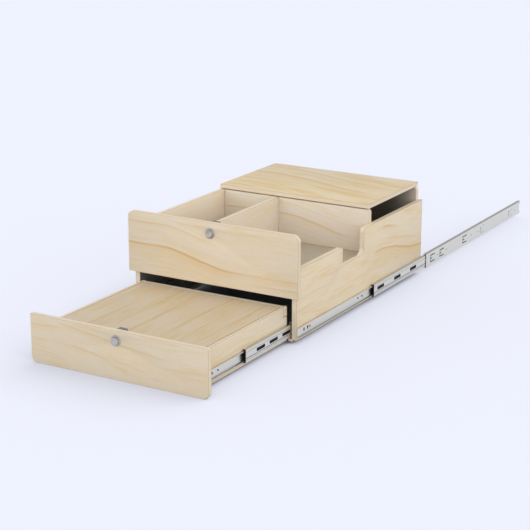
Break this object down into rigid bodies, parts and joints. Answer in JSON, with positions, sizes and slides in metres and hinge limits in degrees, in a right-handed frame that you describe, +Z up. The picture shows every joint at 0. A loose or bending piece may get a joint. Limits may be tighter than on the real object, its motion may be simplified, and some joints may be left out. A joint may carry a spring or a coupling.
{
  "type": "van rear kitchen drawer",
  "caption": "Plywood kitchen box for a van's rear on long telescopic slides, with open compartments, a hinged lid and a lower drawer with a table top.",
  "frame": {"origin": "under the middle of the part's outer bounds, at the height of the lower front board's bottom edge", "axes": "+Z up, +Y from the front boards to the back of the slides, +X to the right seen from the front"},
  "size_m": [0.5554, 2.087, 0.3142],
  "materials": {
    "birch_ply": "lacquered birch plywood, pale ply edges",
    "zinc_steel": "bright zinc-plated sheet steel",
    "screw_steel": "zinc-plated steel",
    "satin_nickel": "satin nickel",
    "dark_housing": "dark grey moulded housing",
    "black_plastic": "black moulded plastic",
    "grey_felt": "dark felt strip"
  },
  "bodies": {
    "van_rails": {"main_outer_rail_left": "zinc_steel", "main_outer_rail_right": "zinc_steel"},
    "main_outer_cages": {"main_outer_cage_left": "black_plastic", "main_outer_cage_right": "black_plastic"},
    "main_mid_rails": {"main_mid_rail_left": "zinc_steel", "main_mid_rail_right": "zinc_steel", "main_mid_stops_left": "black_plastic", "main_mid_stops_right": "black_plastic"},
    "main_inner_cages": {"main_inner_cage_left": "black_plastic", "main_inner_cage_right": "black_plastic"},
    "box": {"main_inner_rail_left": "zinc_steel", "main_inner_rail_right": "zinc_steel", "left_side_panel": "birch_ply", "right_side_panel": "birch_ply", "upper_front": "birch_ply", "compartment_floor": "birch_ply", "divider": "birch_ply", "cross_panel": "birch_ply", "back_panel": "birch_ply", "slide_batten_left": "birch_ply", "slide_batten_right": "birch_ply", "lower_outer_rail_left": "zinc_steel", "lower_outer_rail_right": "zinc_steel", "upper_rosette": "satin_nickel", "upper_lock_housing": "dark_housing", "lid_felt_front": "grey_felt", "lid_felt_rear": "grey_felt", "back_hinge_leaf_left": "zinc_steel", "back_hinge_leaf_right": "zinc_steel", "hinge_pin_left": "screw_steel", "hinge_pin_right": "screw_steel"},
    "lid": {"lid": "birch_ply", "lid_hinge_leaf_left": "zinc_steel", "lid_hinge_leaf_right": "zinc_steel"},
    "upper_knob": {"upper_knob": "satin_nickel"},
    "upper_bolt": {"upper_bolt": "satin_nickel"},
    "lower_outer_cages": {"lower_outer_cage_left": "black_plastic", "lower_outer_cage_right": "black_plastic"},
    "lower_mid_rails": {"lower_mid_rail_left": "zinc_steel", "lower_mid_rail_right": "zinc_steel", "lower_mid_stops_left": "black_plastic", "lower_mid_stops_right": "black_plastic"},
    "lower_inner_cages": {"lower_inner_cage_left": "black_plastic", "lower_inner_cage_right": "black_plastic"},
    "lower_drawer": {"lower_inner_rail_left": "zinc_steel", "lower_inner_rail_right": "zinc_steel", "lower_front": "birch_ply", "drawer_side_left": "birch_ply", "drawer_side_right": "birch_ply", "drawer_rear_panel": "birch_ply", "drawer_bottom": "birch_ply", "table_panel": "birch_ply", "lower_rosette": "satin_nickel", "lower_lock_housing": "dark_housing"},
    "lower_knob": {"lower_knob": "satin_nickel"},
    "lower_bolt": {"lower_bolt": "satin_nickel"}
  },
  "joints": [
    {"name": "main_slide", "type": "slide", "parent": "van_rails", "child": "box", "axis": [0, 1, 0], "range_m": [0, 0.815]},
    {"name": "main_mid_slide", "type": "slide", "parent": "van_rails", "child": "main_mid_rails", "axis": [0, 1, 0], "range_m": [0, 0.3662]},
    {"name": "main_outer_cage_roll", "type": "slide", "parent": "van_rails", "child": "main_outer_cages", "axis": [0, 1, 0], "range_m": [0, 0.1832]},
    {"name": "main_inner_cage_roll", "type": "slide", "parent": "van_rails", "child": "main_inner_cages", "axis": [0, 1, 0], "range_m": [0, 0.5907]},
    {"name": "lid_hinge", "type": "hinge", "parent": "box", "child": "lid", "pos_m": [0, 0.23155, 0.2795], "axis": [-1, 0, 0], "range_deg": [0, 95]},
    {"name": "upper_knob_press", "type": "slide", "parent": "box", "child": "upper_knob", "axis": [0, 1, 0], "range_m": [0, 0.004]},
    {"name": "upper_bolt_throw", "type": "slide", "parent": "box", "child": "upper_bolt", "axis": [0, 0, 1], "range_m": [0, 0.009]},
    {"name": "lower_slide", "type": "slide", "parent": "box", "child": "lower_drawer", "axis": [0, 1, 0], "range_m": [0, 0.45]},
    {"name": "lower_mid_slide", "type": "slide", "parent": "box", "child": "lower_mid_rails", "axis": [0, 1, 0], "range_m": [0, 0.2403]},
    {"name": "lower_outer_cage_roll", "type": "slide", "parent": "box", "child": "lower_outer_cages", "axis": [0, 1, 0], "range_m": [0, 0.1202]},
    {"name": "lower_inner_cage_roll", "type": "slide", "parent": "box", "child": "lower_inner_cages", "axis": [0, 1, 0], "range_m": [0, 0.3452]},
    {"name": "lower_knob_press", "type": "slide", "parent": "lower_drawer", "child": "lower_knob", "axis": [0, 1, 0], "range_m": [0, 0.004]},
    {"name": "lower_bolt_throw", "type": "slide", "parent": "lower_drawer", "child": "lower_bolt", "axis": [0, 0, 1], "range_m": [0, 0.009]}
  ],
  "couplings": [
    {"joint": "main_mid_slide", "follows": "main_slide", "ratio": 0.4493},
    {"joint": "main_outer_cage_roll", "follows": "main_slide", "ratio": 0.22465},
    {"joint": "main_inner_cage_roll", "follows": "main_slide", "ratio": 0.72465},
    {"joint": "lower_mid_slide", "follows": "lower_slide", "ratio": 0.5339},
    {"joint": "lower_outer_cage_roll", "follows": "lower_slide", "ratio": 0.26695},
    {"joint": "lower_inner_cage_roll", "follows": "lower_slide", "ratio": 0.76695},
    {"joint": "upper_bolt_throw", "follows": "upper_knob_press", "ratio": 2.25},
    {"joint": "lower_bolt_throw", "follows": "lower_knob_press", "ratio": 2.25}
  ]
}
